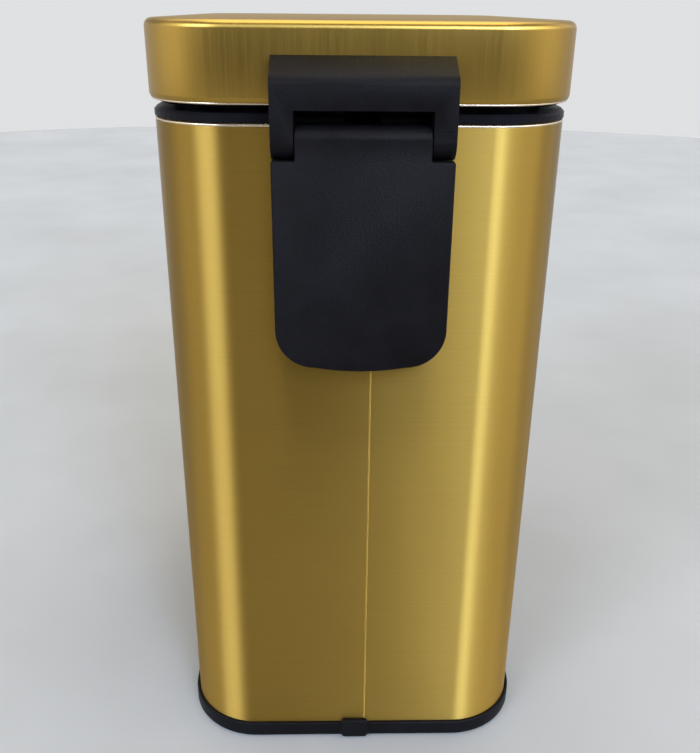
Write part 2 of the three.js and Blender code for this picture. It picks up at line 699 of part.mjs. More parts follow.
function rodHead() {
  const slotHalf = 4.1;
  const slotHigh = 2.2;
  const slotY = 117.4;
  const forkHalf = 3.2;
  const outside = roundedRect(12.4, slotY - 5.7, slotY + 5.7, 2);
  const slotLow = CRANK_TIP_Z - slotHigh;
  const slot = block(-8, 8, slotY - slotHalf, slotY + slotHalf, slotLow, CRANK_TIP_Z + slotHigh);
  const fork = block(-forkHalf, forkHalf, slotY - 7, slotY + 7, CRANK_TIP_Z - 4.4, HEAD_TOP + PAST);
  const relief = polygon([
    [slotY + 2.6, CRANK_TIP_Z - 4.3],
    [slotY + 7, CRANK_TIP_Z - 4.3],
    [slotY + 7, CRANK_TIP_Z - 8.4],
  ]);
  const armWay = carriedAcross(relief, -forkHalf, forkHalf);
  const socket = upright(0, ROD_Y, ROD_R + GAP, HEAD_LOW - PAST, HEAD_LOW + 4.8);
  return cut(smallSlab(outside, HEAD_LOW, HEAD_TOP), slot, fork, armWay, socket);
}

function rodFoot() {
  const radius = 5;
  const dome = [];
  const steps = 6;
  for (let i = 0; i <= steps; i += 1) {
    const angle = (i / steps) * (Math.PI / 2);
    dome.push([radius * Math.sin(angle), FOOT_LOW + 3 - 3 * Math.cos(angle)]);
  }
  const high = FOOT_LOW + FOOT_HIGH;
  const bore = ROD_R + GAP;
  const socket = [
    [bore, high],
    [bore, FOOT_LOW + 4.6],
    [0, FOOT_LOW + 4.6],
  ];
  return turned([...dome, [radius, high], ...socket], 0, ROD_Y);
}

function rodYoke() {
  const shape = roundedRect(32, ROD_Y - 4.5, ROD_Y + 4.5, 3);
  const bar = smallSlab(shape, YOKE_LOW, YOKE_LOW + YOKE_HIGH).translate([10, 0, 0]);
  const socket = upright(DAMPER_X, ROD_Y, PLUNGER_R + GAP, YOKE_LOW - PAST, YOKE_LOW + 5);
  const yokeTop = YOKE_LOW + YOKE_HIGH;
  const rodBore = upright(0, ROD_Y, ROD_R + PIN_PLAY, YOKE_LOW - PAST, yokeTop + PAST);
  return cut(bar, rodBore, socket);
}

function damperCylinder() {
  const low = BRIDGE_TOP + GAP;
  const bore = 2.1;
  return turned(
    [
      [0, low],
      [5, low],
      [6, low + 1],
      [6, CYLINDER_TOP - 5],
      [5.2, CYLINDER_TOP - 4],
      [5.2, CYLINDER_TOP],
      [bore, CYLINDER_TOP],
      [bore, low + 4],
      [0, low + 4],
    ],
    DAMPER_X,
    ROD_Y,
  );
}

function damperHolder() {
  const left = block(...HOLDER_LEFT, HOLDER_NEAR, HOLDER_FAR, FLOOR_TOP + GAP, BRIDGE_TOP);
  const right = block(...HOLDER_RIGHT, HOLDER_NEAR, HOLDER_FAR, FLOOR_TOP + GAP, BRIDGE_TOP);
  const bridge = block(HOLDER_LEFT[0], HOLDER_RIGHT[1], HOLDER_NEAR, HOLDER_FAR, BRIDGE_LOW, BRIDGE_TOP);
  const rodWay = upright(0, ROD_Y, ROD_R + GAP, BRIDGE_LOW - PAST, BRIDGE_TOP + PAST);
  return cut(join(left, right, bridge), rodWay);
}

// ---- pedal, in the lever's own frame: y along the lever from its pivot, z up from it ----
const LEVER_REAR = 136;
const LEVER_SHEET = 2;
const LEVER_NECK = 60; // where the lever begins to narrow towards its rear
const PEDAL_RISE = 2.3; // pedal plate's top above the lever's
const PEDAL_FRONT = FRONT - PEDAL_OUT - PIVOT_Y;
const PEDAL_REAR = FRONT - 5 - PIVOT_Y;
const PEDAL_RIVET_Y = PEDAL_REAR - 6;
const PEDAL_RIVETS = [-12, 12];
const RIVET_HOLE_R = 1.9;

function pedalLever() {
  const plateLow = LEVER_TOP - LEVER_SHEET;
  const plan = new THREE.Shape();
  plan.moveTo(-LEVER_W / 2, PEDAL_FRONT + 8);
  plan.lineTo(LEVER_W / 2, PEDAL_FRONT + 8);
  plan.lineTo(LEVER_W / 2, LEVER_NECK);
  plan.lineTo(6, 96);
  plan.lineTo(6, LEVER_REAR - 2);
  plan.lineTo(4, LEVER_REAR);
  plan.lineTo(-4, LEVER_REAR);
  plan.lineTo(-6, LEVER_REAR - 2);
  plan.lineTo(-6, 96);
  plan.lineTo(-LEVER_W / 2, LEVER_NECK);
  const plate = slab(plan, plateLow, LEVER_TOP);
  const cheek = polygon([
    [PEDAL_FRONT + 26, plateLow + 0.5],
    [PEDAL_FRONT + 26, 1.5],
    [-14, 1.5],
    [-6, -4.5],
    [6, -4.5],
    [14, 1.5],
    [58, 1.5],
    [58, plateLow + 0.5],
  ]);
  const cheeks = [-LEVER_W / 2, LEVER_W / 2 - LEVER_SHEET].map((x0) =>
    carriedAcross(cheek.clone(), x0, x0 + LEVER_SHEET),
  );
  const rearRib = block(-1, 1, LEVER_NECK, LEVER_REAR - 6, 1.5, plateLow + 0.5);
  const axleBore = crossBar(0, 0, AXLE_R + PIN_PLAY, -LEVER_W, LEVER_W);
  const rivets = PEDAL_RIVETS.map((x) =>
    upright(x, PEDAL_RIVET_Y, RIVET_HOLE_R, plateLow - PAST, LEVER_TOP + PAST),
  );
  return cut(join(plate, ...cheeks, rearRib), axleBore, ...rivets);
}

function pedalPlate() {
  const plan = roundedRect(PEDAL_W, PEDAL_FRONT, PEDAL_REAR, 8);
  const outer = slab(plan, LEVER_TOP - 5, LEVER_TOP + PEDAL_RISE, 1.6, 2, 4);
  const under = block(-PEDAL_W, PEDAL_W, PEDAL_FRONT - 1, PEDAL_REAR + 1, LEVER_TOP - 7, LEVER_TOP - 3);
  const insidePlan = roundedRect(PEDAL_W - 3, PEDAL_FRONT + 1.5, PEDAL_REAR + 4, 6.5);
  const inside = smallSlab(insidePlan, LEVER_TOP - 6, LEVER_TOP + GAP);
  const padPlan = roundedRect(46, PEDAL_FRONT + 4.5, PEDAL_FRONT + 18.5, 4);
  const padSeat = smallSlab(padPlan, LEVER_TOP + 1.3, LEVER_TOP + 4);
  const rivets = PEDAL_RIVETS.map((x) =>
    upright(x, PEDAL_RIVET_Y, RIVET_HOLE_R, LEVER_TOP - 8, LEVER_TOP + 4),
  );
  return cut(outer, under, inside, padSeat, ...rivets);
}

function pedalPad() {
  const low = LEVER_TOP + 1.6;
  const y0 = PEDAL_FRONT + 4.8;
  const pad = smallSlab(roundedRect(45.4, y0, y0 + 13.4, 3.7), low, low + 1.4);
  const ribs = [1.8, 4.7, 7.6, 10.5].map((y) => block(-19, 19, y0 + y, y0 + y + 1.2, low + 1, low + 2.3));
  return join(pad, ...ribs);
}

function pedalRivet(x) {
  return turned(
    [
      [0, LEVER_TOP - 3.2],
      [2.8, LEVER_TOP - 3.2],
      [2.8, LEVER_TOP - LEVER_SHEET - GAP],
      [1.6, LEVER_TOP - LEVER_SHEET - GAP],
      [1.6, LEVER_TOP + PEDAL_RISE + GAP],
      [3, LEVER_TOP + PEDAL_RISE + GAP],
      [2.2, LEVER_TOP + 3.8],
      [0, LEVER_TOP + 4.2],
    ],
    x,
    PEDAL_RIVET_Y,
  );
}

// ---- bucket, narrower at its floor by this share of its size ----
const BUCKET_NARROWING = 0.07;
const BUCKET_WALL = 1.8;
const FINGER_TAB_HALF = 26;
const FINGER_TAB_HIGH = 5;

function innerBucket() {
  const flangeIn = RECESS_IN + 0.6;
  const wallIn = LEDGE_IN + 1;
  const flangeBack = DECK_FRONT - 0.6;
  const flange = roundedRect(BODY_W - 2 * flangeIn, FRONT + flangeIn, flangeBack, BODY_R - flangeIn);
  const outline = (inset) =>
    roundedRect(BODY_W - 2 * (wallIn + inset), FRONT + wallIn + inset, BUCKET_BACK - inset, 24 - inset);
  const tabs = [-1, 1].map((side) => {
    const x = side * (BODY_W / 2 - flangeIn - 2);
    const high = BUCKET_TOP + FINGER_TAB_HIGH;
    return block(x - 1.2, x + 1.2, -FINGER_TAB_HALF, FINGER_TAB_HALF, BUCKET_TOP - 1, high);
  });
  const steps = CORNER_STEPS;
  const low = BUCKET_FLOOR + BUCKET_WALL;
  const outside = slabGeometry(outline(0), BUCKET_FLOOR, BUCKET_TOP - 0.5, 0.5, 1, steps);
  const inside = slabGeometry(outline(BUCKET_WALL), low, BUCKET_TOP + 12, 0.5, 1, steps);
  const rim = slab(flange, LEDGE_TOP + GAP, BUCKET_TOP, 0.4, 1);
  return cut(join(tapered(outside), rim, ...tabs), tapered(inside));
}

function tapered(geometry) {
  const middle = (FRONT + BUCKET_BACK) / 2;
  const points = geometry.attributes.position;
  for (let i = 0; i < points.count; i += 1) {
    const share = 1 - BUCKET_NARROWING * ((BUCKET_TOP - points.getZ(i)) / (BUCKET_TOP - BUCKET_FLOOR));
    points.setXY(i, points.getX(i) * share, middle + (points.getY(i) - middle) * share);
  }
  return solid(geometry);
}

// ---- put together ----
place("body_shell", bodyShell(), GOLD);
place("rim_ring", rimRing(), BLACK);
place("base_ring", baseRing(), BLACK);
place("base_floor", baseFloor(), DARK_GREY);
place("pedal_bezel", pedalBezel(), BLACK);
for (const [name, [x, y]] of Object.entries(FEET)) place(name, foot(x, y), RUBBER);
BASE_SCREWS.forEach(([x, y], i) => {
  const screw = place("base_screw_" + (i + 1), panScrew(1.6, BASE_SCREW_LENGTH, 3, 2), STEEL);
  screw.position.set(x, y, FLOOR_TOP + GAP - BASE_SCREW_LENGTH);
});

place("hinge_cover", hingeCover(), BLACK);
place("hinge_base", hingeBase(), STEEL);
place("backing_plate", backingPlate(), STEEL);
HINGE_SCREWS.forEach(([x, z], i) => {
  const screw = place("hinge_screw_" + (i + 1), panScrew(1.9, HINGE_SCREW_LENGTH, 3.6, 2.2), STEEL);
  screw.rotation.x = Math.PI / 2;
  screw.position.set(x, PLATE_NEAR - GAP + HINGE_SCREW_LENGTH, z);
});

place("inner_bucket", innerBucket(), DARK_GREY);
place("damper_holder", damperHolder(), DARK_GREY);
place("damper_cylinder", damperCylinder(), STEEL);

place("pedal_axle", crossBar(PIVOT_Y, PIVOT_Z, AXLE_R, -AXLE_HALF, AXLE_HALF), STEEL);
place("axle_clip_left", axleClip(-CLIP_OUT), STEEL);
place("axle_clip_right", axleClip(CLIP_OUT - CLIP_THICK), STEEL);

place("lid_shell", lidShell(), GOLD);
place("lid_liner", lidLiner(), BLACK);
for (const [name, [x, y]] of Object.entries(BUMPERS)) place(name, bumper(x, y), RUBBER);
place("lid_bracket", lidBracket(), BLACK);
BRACKET_SCREWS.forEach((x, i) => {
  const screw = place("bracket_screw_" + (i + 1), panScrew(1.5, BRACKET_SCREW_LENGTH, 3.2, 2), STEEL);
  const y = BACK + LID_OVER - SHEET - GAP + BRACKET_SCREW_LENGTH;
  screw.rotation.x = Math.PI / 2;
  screw.position.set(x, y, BRACKET_SCREW_Z);
});
place("hinge_pin", crossBar(AXIS_Y, AXIS_Z, PIN_R, -HINGE_PIN_HALF, HINGE_PIN_HALF), STEEL);
place("crank_arm", crankArm(), STEEL);
place("crank_pin", crankPin(), STEEL);

place("push_rod", pushRod(), STEEL);
place("rod_head", rodHead(), DARK_GREY);
place("rod_foot", rodFoot(), DARK_GREY);
place("rod_yoke", rodYoke(), DARK_GREY);
place("damper_plunger", upright(DAMPER_X, ROD_Y, PLUNGER_R, PLUNGER_LOW, YOKE_LOW + 4.6), STEEL);

const lever = new THREE.Group();
lever.position.set(0, PIVOT_Y, PIVOT_Z);
lever.rotation.x = -LEVER_TILT;
model.add(lever);
place("pedal_lever", pedalLever(), STEEL, lever);
place("pedal_plate", pedalPlate(), GOLD, lever);
place("pedal_pad", pedalPad(), RUBBER, lever);
place("pedal_rivet_left", pedalRivet(PEDAL_RIVETS[0]), STEEL, lever);
place("pedal_rivet_right", pedalRivet(PEDAL_RIVETS[1]), STEEL, lever);

// The origin is under the middle of the whole object, pedal and hinge included.
const whole = new THREE.Box3().setFromObject(model);
model.position.y = -(whole.min.y + whole.max.y) / 2;

export default bin;
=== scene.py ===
import math

import bmesh
import bpy
from mathutils import Matrix, Vector


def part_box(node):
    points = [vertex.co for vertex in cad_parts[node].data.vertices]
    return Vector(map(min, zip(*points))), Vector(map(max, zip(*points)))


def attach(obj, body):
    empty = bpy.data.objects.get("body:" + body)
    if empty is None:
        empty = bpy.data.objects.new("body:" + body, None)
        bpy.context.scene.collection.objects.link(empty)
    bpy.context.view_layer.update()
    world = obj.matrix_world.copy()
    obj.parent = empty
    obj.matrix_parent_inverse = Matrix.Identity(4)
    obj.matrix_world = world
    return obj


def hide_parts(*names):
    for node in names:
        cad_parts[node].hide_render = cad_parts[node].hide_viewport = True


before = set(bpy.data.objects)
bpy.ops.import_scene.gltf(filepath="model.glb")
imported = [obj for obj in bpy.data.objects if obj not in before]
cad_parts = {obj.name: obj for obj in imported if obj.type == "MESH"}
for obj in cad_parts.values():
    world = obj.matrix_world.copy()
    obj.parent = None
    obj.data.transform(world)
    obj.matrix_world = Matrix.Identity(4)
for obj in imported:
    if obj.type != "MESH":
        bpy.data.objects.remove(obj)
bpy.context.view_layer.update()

MM = 0.001

# ---- sizes read from the frame ----
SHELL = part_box("body_shell")
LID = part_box("lid_shell")
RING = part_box("base_ring")
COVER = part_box("hinge_cover")
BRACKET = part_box("lid_bracket")
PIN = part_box("hinge_pin")

SEAM_PROUD = 0.4 * MM  # how far the weld bead stands out from the back
CENTRE_Y = (LID[0][1] + LID[1][1]) / 2
HALF_W = (SHELL[1][0] - SHELL[0][0]) / 2
HALF_D = (SHELL[1][1] - SEAM_PROUD - SHELL[0][1]) / 2
BACK_Y = CENTRE_Y + HALF_D
AXIS_Y = (PIN[0][1] + PIN[1][1]) / 2
AXIS_Z = (PIN[0][2] + PIN[1][2]) / 2

# ---- sizes that the boxes don't give ----
CORNER_R = 34 * MM
CORNER_STEPS = 28
SHEET = 0.8 * MM
BODY_EDGE_R = 1.6 * MM
LID_EDGE_R = 3.2 * MM
LID_OVER = 1.8 * MM  # how far the lid stands out past the body
RING_OVER = 1.8 * MM  # the same for the base ring
RING_HIGH = 8.2 * MM
RING_GAP = 0.3 * MM
SEAM_X = -5 * MM
SEAM_HALF = 0.55 * MM
NOTCH_HALF = 7 * MM  # the crank's way through the top of the back
NOTCH_DEEP = 25.6 * MM
SLOT_HALF = 35 * MM  # the pedal's way through the front
SLOT_TOP = 39 * MM
PAST = 1 * MM  # how far a cutting tool reaches past what it cuts
REACH = 10 * MM  # how deep it reaches into the body


# ---- mesh tools ----
SAME_POINT = 1e-7
CUT_SLIVER = 2e-6  # shorter edges that a boolean leaves are closed up
SOFT_ANGLE = 40


def outline(inset):
    """A rounded rectangle round the body, moved inwards by inset, as (x, y) points."""
    radius = CORNER_R - inset
    flat_x = HALF_W - CORNER_R
    flat_y = HALF_D - CORNER_R
    points = []
    for quarter, (sx, sy) in enumerate([(1, -1), (1, 1), (-1, 1), (-1, -1)]):
        for step in range(CORNER_STEPS + 1):
            angle = math.pi / 2 * (quarter - 1 + step / CORNER_STEPS)
            x = sx * flat_x + radius * math.cos(angle)
            y = sy * flat_y + radius * math.sin(angle)
            points.append((x, CENTRE_Y + y))
    return points


def arc(cx, cz, radius, start, end, steps):
    """Points of an arc about (cx, cz), both ends included; the angles are in degrees."""
    turn = [math.radians(start + (end - start) * i / steps) for i in range(steps + 1)]
    return [(cx + radius * math.cos(a), cz + radius * math.sin(a)) for a in turn]


def finish_mesh(name, bm, material):
    """Makes a shaded object of a bmesh, with points that coincide joined."""
    bmesh.ops.remove_doubles(bm, verts=bm.verts, dist=SAME_POINT)
    bmesh.ops.recalc_face_normals(bm, faces=bm.faces)
    mesh = bpy.data.meshes.new(name)
    bm.to_mesh(mesh)
    bm.free()
    piece = bpy.data.objects.new(name, mesh)
    bpy.context.scene.collection.objects.link(piece)
    mesh.materials.append(material)
    shade(piece)
    return piece


def shade(piece, smooth_angle=35):
    """Smooth shading across every edge that turns by less than smooth_angle degrees."""
    mesh = piece.data
    mesh.polygons.foreach_set("use_smooth", [True] * len(mesh.polygons))
    mesh.set_sharp_from_angle(angle=math.radians(smooth_angle))


def swept(name, profile, material, capped=False):
    """A closed (inset, z) profile carried round the body's outline. A capped one is open at its two
    ends and closed there by flat faces, as a cap's inside and outside are."""
    bm = bmesh.new()
    rings = []
    for inset, z in profile:
        rings.append([bm.verts.new((x, y, z)) for x, y in outline(inset)])
    count = len(rings[0])
    pairs = list(zip(rings, rings[1:]))
    if not capped:
        pairs.append((rings[-1], rings[0]))
    for low, high in pairs:
        for i in range(count):
            j = (i + 1) % count
            bm.faces.new((low[i], low[j], high[j], high[i]))
    if capped:
        bm.faces.new(rings[0])
        bm.faces.new(rings[-1])
    return finish_mesh(name, bm, material)


def prism(name, points, axis, low, high, material):
    """An outline carried along an axis: x outlines are (y, z), y outlines (x, z), z outlines (x, y)."""
    place = {
        "x": lambda a, b, t: (t, a, b),
        "y": lambda a, b, t: (a, t, b),
        "z": lambda a, b, t: (a, b, t),
    }[axis]
    bm = bmesh.new()
    near = [bm.verts.new(place(a, b, low)) for a, b in points]
    far = [bm.verts.new(place(a, b, high)) for a, b in points]
    bm.faces.new(near)
    bm.faces.new(far)
    for i in range(len(points)):
        j = (i + 1) % len(points)
        bm.faces.new((near[i], near[j], far[j], far[i]))
    return finish_mesh(name, bm, material)


def box(name, low, high, material):
    points = [(low[0], low[1]), (high[0], low[1]), (high[0], high[1]), (low[0], high[1])]
    return prism(name, points, "z", low[2], high[2], material)


def apply(piece):
    """Bakes a piece's modifiers into its mesh."""
    graph = bpy.context.evaluated_depsgraph_get()
    mesh = bpy.data.meshes.new_from_object(piece.evaluated_get(graph))
    old = piece.data
    piece.modifiers.clear()
    piece.data = mesh
    bpy.data.meshes.remove(old)


def combine(piece, tool, operation):
    """A boolean of a piece with a tool, which it uses up."""
    modifier = piece.modifiers.new("cut", "BOOLEAN")
    modifier.operation = operation
    modifier.solver = "EXACT"
    modifier.object = tool
    apply(piece)
    bpy.data.objects.remove(tool, do_unlink=True)


def cut(piece, tool):
    combine(piece, tool, "DIFFERENCE")


def soften(piece, width):
    """Rounds a piece's sharp edges, as a mould or a press leaves them."""
    flat = math.radians(1)
    bm = bmesh.new()
    bm.from_mesh(piece.data)
    bmesh.ops.remove_doubles(bm, verts=bm.verts, dist=CUT_SLIVER)
    bmesh.ops.dissolve_limit(bm, angle_limit=flat, verts=bm.verts, edges=bm.edges)
    bm.to_mesh(piece.data)
    bm.free()
    modifier = piece.modifiers.new("edge", "BEVEL")
    modifier.width = width
    modifier.segments = 3
    modifier.limit_method = "ANGLE"
    modifier.angle_limit = math.radians(32)
    modifier.harden_normals = True
    shade(piece, SOFT_ANGLE)
    apply(piece)
    shade(piece, SOFT_ANGLE)


# ---- materials ----
NEARLY_LEVEL = 0.98  # upward share of a face's normal above which it counts as level
LEVEL_WEAR = 0.26  # extra roughness of level faces
STREAK_DEPTH = 0.04 * MM
GRAIN_DEPTH = 0.2 * MM
PLASTIC_GLOSS = 0.07
PLASTIC_GLOSS_TINT = (1.0, 0.86, 0.70, 1)


class Nodes:
    """A short way to write a node material."""

    def __init__(self, name):
        self.material = bpy.data.materials.new(name)
        self.material.use_nodes = True
        self.tree = self.material.node_tree
        self.shader = self.tree.nodes["Principled BSDF"]

    def add(self, kind, **settings):
        """A node with its properties, or else its inputs, set."""
        node = self.tree.nodes.new(kind)
        for key, value in settings.items():
            if hasattr(node, key):
                setattr(node, key, value)
            else:
                node.inputs[key.replace("_", " ")].default_value = value
        return node

    def link(self, source, target):
        self.tree.links.new(source, target)

    def stretched(self, scale):
        """Object coordinates scaled by (x, y, z)."""
        place = self.add("ShaderNodeTexCoord")
        mapping = self.add("ShaderNodeMapping")
        mapping.inputs["Scale"].default_value = scale
        self.link(place.outputs["Object"], mapping.inputs["Vector"])
        return mapping.outputs["Vector"]

    def noise(self, scale, detail=3.0, roughness=0.6):
        """Noise in the object's own space, with scale lumps to a metre along each axis."""
        node = self.add("ShaderNodeTexNoise")
        node.inputs["Scale"].default_value = 1.0
        node.inputs["Detail"].default_value = detail
        node.inputs["Roughness"].default_value = roughness
        self.link(self.stretched(scale), node.inputs["Vector"])
        return node.outputs["Fac"]

    def ramp(self, source, stops):
        """Colours between (position, colour) stops."""
        node = self.add("ShaderNodeValToRGB")
        elements = node.color_ramp.elements
        for end in (0, -1):
            elements[end].position, elements[end].color = stops[end]
        for position, color in stops[1:-1]:
            elements.new(position).color = color
        self.link(source, node.inputs["Fac"])
        return node.outputs["Color"]

    def spread(self, source, low, high):
        """A value between low and high, over the range that noise mostly keeps to."""
        node = self.add("ShaderNodeMapRange")
        node.inputs["From Min"].default_value = 0.25
        node.inputs["From Max"].default_value = 0.75
        node.inputs["To Min"].default_value = low
        node.inputs["To Max"].default_value = high
        self.link(source, node.inputs["Value"])
        return node.outputs["Result"]

    def bump(self, source, strength, distance):
        node = self.add("ShaderNodeBump")
        node.inputs["Strength"].default_value = strength
        node.inputs["Distance"].default_value = distance
        self.link(source, node.inputs["Height"])
        return node.outputs["Normal"]

    def level_faces(self):
        """One on faces that look straight up or down, and zero elsewhere."""
        place = self.add("ShaderNodeTexCoord")
        split = self.add("ShaderNodeSeparateXYZ")
        self.link(place.outputs["Normal"], split.inputs["Vector"])
        steep = self.add("ShaderNodeMath", operation="ABSOLUTE")
        self.link(split.outputs["Z"], steep.inputs[0])
        level = self.add("ShaderNodeMath", operation="GREATER_THAN")
        self.link(steep.outputs[0], level.inputs[0])
        level.inputs[1].default_value = NEARLY_LEVEL
        return level.outputs[0]

    def grain_direction(self):
        """Round the object on its walls, and from side to side on its level faces."""
        round_the_walls = self.add("ShaderNodeTangent", direction_type="RADIAL", axis="Z")
        mix = self.add("ShaderNodeMix", data_type="VECTOR")
        self.link(self.level_faces(), mix.inputs["Factor"])
        self.link(round_the_walls.outputs["Tangent"], mix.inputs["A"])
        mix.inputs["B"].default_value = (1, 0, 0)
        return mix.outputs["Result"]

    def set(self, **values):
        """Constants on the shader's own sockets."""
        for key, value in values.items():
            self.shader.inputs[key.replace("_", " ")].default_value = value


def grey(value):
    """A grey with full alpha."""
    return (value, value, value, 1)


def brushed(name, grain, colours, roughness, anisotropy, turn):
    """Brushed metal: fine streaks, broad tint changes, stretched highlights and duller level faces."""
    n = Nodes(name)
    fine = n.noise(grain, detail=4.0, roughness=0.7)
    broad = n.noise((9, 9, 5), detail=2.0)
    tint = n.ramp(broad, [(0.3, colours[0]), (0.7, colours[1])])
    streak = n.ramp(fine, [(0.3, grey(0.86)), (0.72, grey(1.0))])
    mix = n.add("ShaderNodeMix", data_type="RGBA", blend_type="MULTIPLY")
    mix.inputs["Factor"].default_value = 1.0
    n.link(tint, mix.inputs["A"])
    n.link(streak, mix.inputs["B"])
    n.link(mix.outputs["Result"], n.shader.inputs["Base Color"])
    worn = n.add("ShaderNodeMath", operation="MULTIPLY_ADD")
    n.link(n.level_faces(), worn.inputs[0])
    worn.inputs[1].default_value = LEVEL_WEAR
    n.link(n.spread(fine, roughness[0], roughness[1]), worn.inputs[2])
    n.link(worn.outputs[0], n.shader.inputs["Roughness"])
    n.link(n.bump(fine, 0.12, STREAK_DEPTH), n.shader.inputs["Normal"])
    n.link(n.grain_direction(), n.shader.inputs["Tangent"])
    n.set(Metallic=1.0, Anisotropic=anisotropy, Anisotropic_Rotation=turn)
    return n.material


def grained(name, colours, roughness, grain, depth):
    """Moulded plastic or rubber with a fine grain."""
    n = Nodes(name)
    fine = n.noise((grain, grain, grain), detail=2.0, roughness=0.5)
    broad = n.noise((60, 60, 60), detail=4.0)
    n.link(n.ramp(broad, [(0.3, colours[0]), (0.7, colours[1])]), n.shader.inputs["Base Color"])
    n.link(n.spread(broad, roughness[0], roughness[1]), n.shader.inputs["Roughness"])
    n.link(n.bump(fine, depth, GRAIN_DEPTH), n.shader.inputs["Normal"])
    n.set(Specular_IOR_Level=PLASTIC_GLOSS, Specular_Tint=PLASTIC_GLOSS_TINT)
    return n.material


def tones(low, high):
    """Two colours with full alpha, for the ends of a tint change."""
    return (*low, 1), (*high, 1)


def make_materials():
    gold = tones((0.35, 0.213, 0.038), (0.405, 0.247, 0.046))
    lid_gold = tones((0.34, 0.206, 0.038), (0.40, 0.244, 0.047))
    # pale cream tones for the hem lines: a painted highlight along the body's top edge and the lid's
    # lower edge
    pale_hem_tones = tones((0.66, 0.52, 0.34), (0.74, 0.60, 0.42))
    steel = tones((0.50, 0.50, 0.51), (0.58, 0.58, 0.59))
    black = tones((0.0026, 0.0024, 0.0027), (0.0044, 0.0041, 0.0045))
    rim = tones((0.003, 0.003, 0.004), (0.005, 0.005, 0.006))
    inner = tones((0.030, 0.030, 0.034), (0.040, 0.040, 0.044))
    rubber = tones((0.012, 0.012, 0.012), (0.020, 0.020, 0.020))
    return {
        "gold_body": brushed("gold_body", (14, 14, 2600), gold, (0.43, 0.49), 1.0, 0.25),
        "gold_lid": brushed("gold_lid", (2400, 2400, 14), lid_gold, (0.27, 0.34), 0.6, 0.0),
        "hem_highlight": brushed("hem_painted_highlight", (200, 200, 200), pale_hem_tones, (0.22, 0.30), 0.0, 0.0),
        "steel": brushed("plain_steel", (400, 400, 400), steel, (0.26, 0.40), 0.0, 0.0),
        "plastic": grained("plastic", black, (0.40, 0.48), 1900, 1.0),
        "rim": grained("rim_plastic", rim, (0.30, 0.40), 1200, 0.15),
        "inner": grained("inner_plastic", inner, (0.40, 0.50), 900, 0.3),
        "rubber": grained("rubber", rubber, (0.70, 0.85), 700, 0.5),
    }


MATERIAL = make_materials()


def stands_for(piece, node, body):
    """A piece that takes a CAD node's place and rides on its body."""
    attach(piece, body)
    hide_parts(node)


# ---- body ----
def body_profile():
    """The wrap's sheet with its rolled top edge, as (inset, z) points."""
    top = SHELL[1][2]
    low = SHELL[0][2]
    inside_edge = BODY_EDGE_R - SHEET
    lip = BODY_EDGE_R + SHEET
    outside = [(0, low)]
    outside += arc(BODY_EDGE_R, top - BODY_EDGE_R, BODY_EDGE_R, 180, 90, 8)
    outside += [(lip, top)]
    inside = [(lip, top - SHEET)]
    inside += arc(BODY_EDGE_R, top - SHEET - inside_edge, inside_edge, 90, 180, 6)
    inside += [(SHEET, low)]
    return outside + inside


def make_body():
    shell = swept("body_wrap", body_profile(), MATERIAL["gold_body"])
    top = SHELL[1][2]
    front = SHELL[0][1]
    notch_low = (-NOTCH_HALF, BACK_Y - REACH, top - NOTCH_DEEP)
    notch_high = (NOTCH_HALF, BACK_Y + PAST, top + PAST)
    cut(shell, box("tool", notch_low, notch_high, MATERIAL["steel"]))
    slot_low = (-SLOT_HALF, front - PAST, 0)
    slot_high = (SLOT_HALF, front + REACH, SLOT_TOP)
    cut(shell, box("tool", slot_low, slot_high, MATERIAL["steel"]))
    shade(shell)
    stands_for(shell, "body_shell", "bin")


def make_weld_bead():
    """A low rounded line down the back, a little off the middle, which starts behind the cover."""
    steps = 6
    sunk = 0.05 * MM
    points = []
    for i in range(steps + 1):
        angle = math.pi * i / steps
        x = SEAM_X + SEAM_HALF * math.cos(angle)
        points.append((x, BACK_Y - sunk + SEAM_PROUD * math.sin(angle)))
    low = RING[0][2] + RING_HIGH + RING_GAP
    high = COVER[0][2] + 40 * MM
    seam = prism("weld_bead", points, "z", low, high, MATERIAL["gold_body"])
    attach(seam, "bin")


def ring_profile():
    """The base ring's wall, its foot flange and the lip inside the body, as (inset, z) points."""
    low = RING[0][2]
    top = low + RING_HIGH
    edge = 0.9 * MM
    flange_top = low + 1.2 * MM
    lip_top = low + 6 * MM
    wall_inside = -0.3 * MM
    lip_outside = 1.1 * MM
    lip_inside = 2.6 * MM
    flange_in = 14 * MM
    profile = [(flange_in, low), (edge - RING_OVER, low)]
    profile += arc(edge - RING_OVER, low + edge, edge, 270, 180, 5)[1:]
    profile += arc(edge - RING_OVER, top - edge, edge, 180, 90, 5)
    profile += [(wall_inside, top), (wall_inside, flange_top)]
    profile += [(lip_outside, flange_top), (lip_outside, lip_top)]
    profile += [(lip_inside, lip_top), (lip_inside, flange_top)]
    profile += [(flange_in, flange_top)]
    return profile


def rear_tab():
    """An eight-sided tab at the middle of the back, as (x, z) points."""
    low = RING[0][2]
    high = RING[1][2]
    half = 7.4 * MM
    short = 5.8 * MM
    corner = 2.4 * MM
    right = [(short, low), (half, low + corner), (half, high - corner), (short, high)]
    left = [(-x, z) for x, z in reversed(right)]
    return left[3:] + right + left[:3]


def make_base_ring():
    ring = swept("base_band", ring_profile(), MATERIAL["plastic"])
    near = BACK_Y + SEAM_PROUD + RING_GAP
    tab = prism("tab", rear_tab(), "y", near, RING[1][1], MATERIAL["plastic"])
    soften(tab, 0.7 * MM)
    combine(ring, tab, "UNION")
    shade(ring)
    stands_for(ring, "base_ring", "bin")


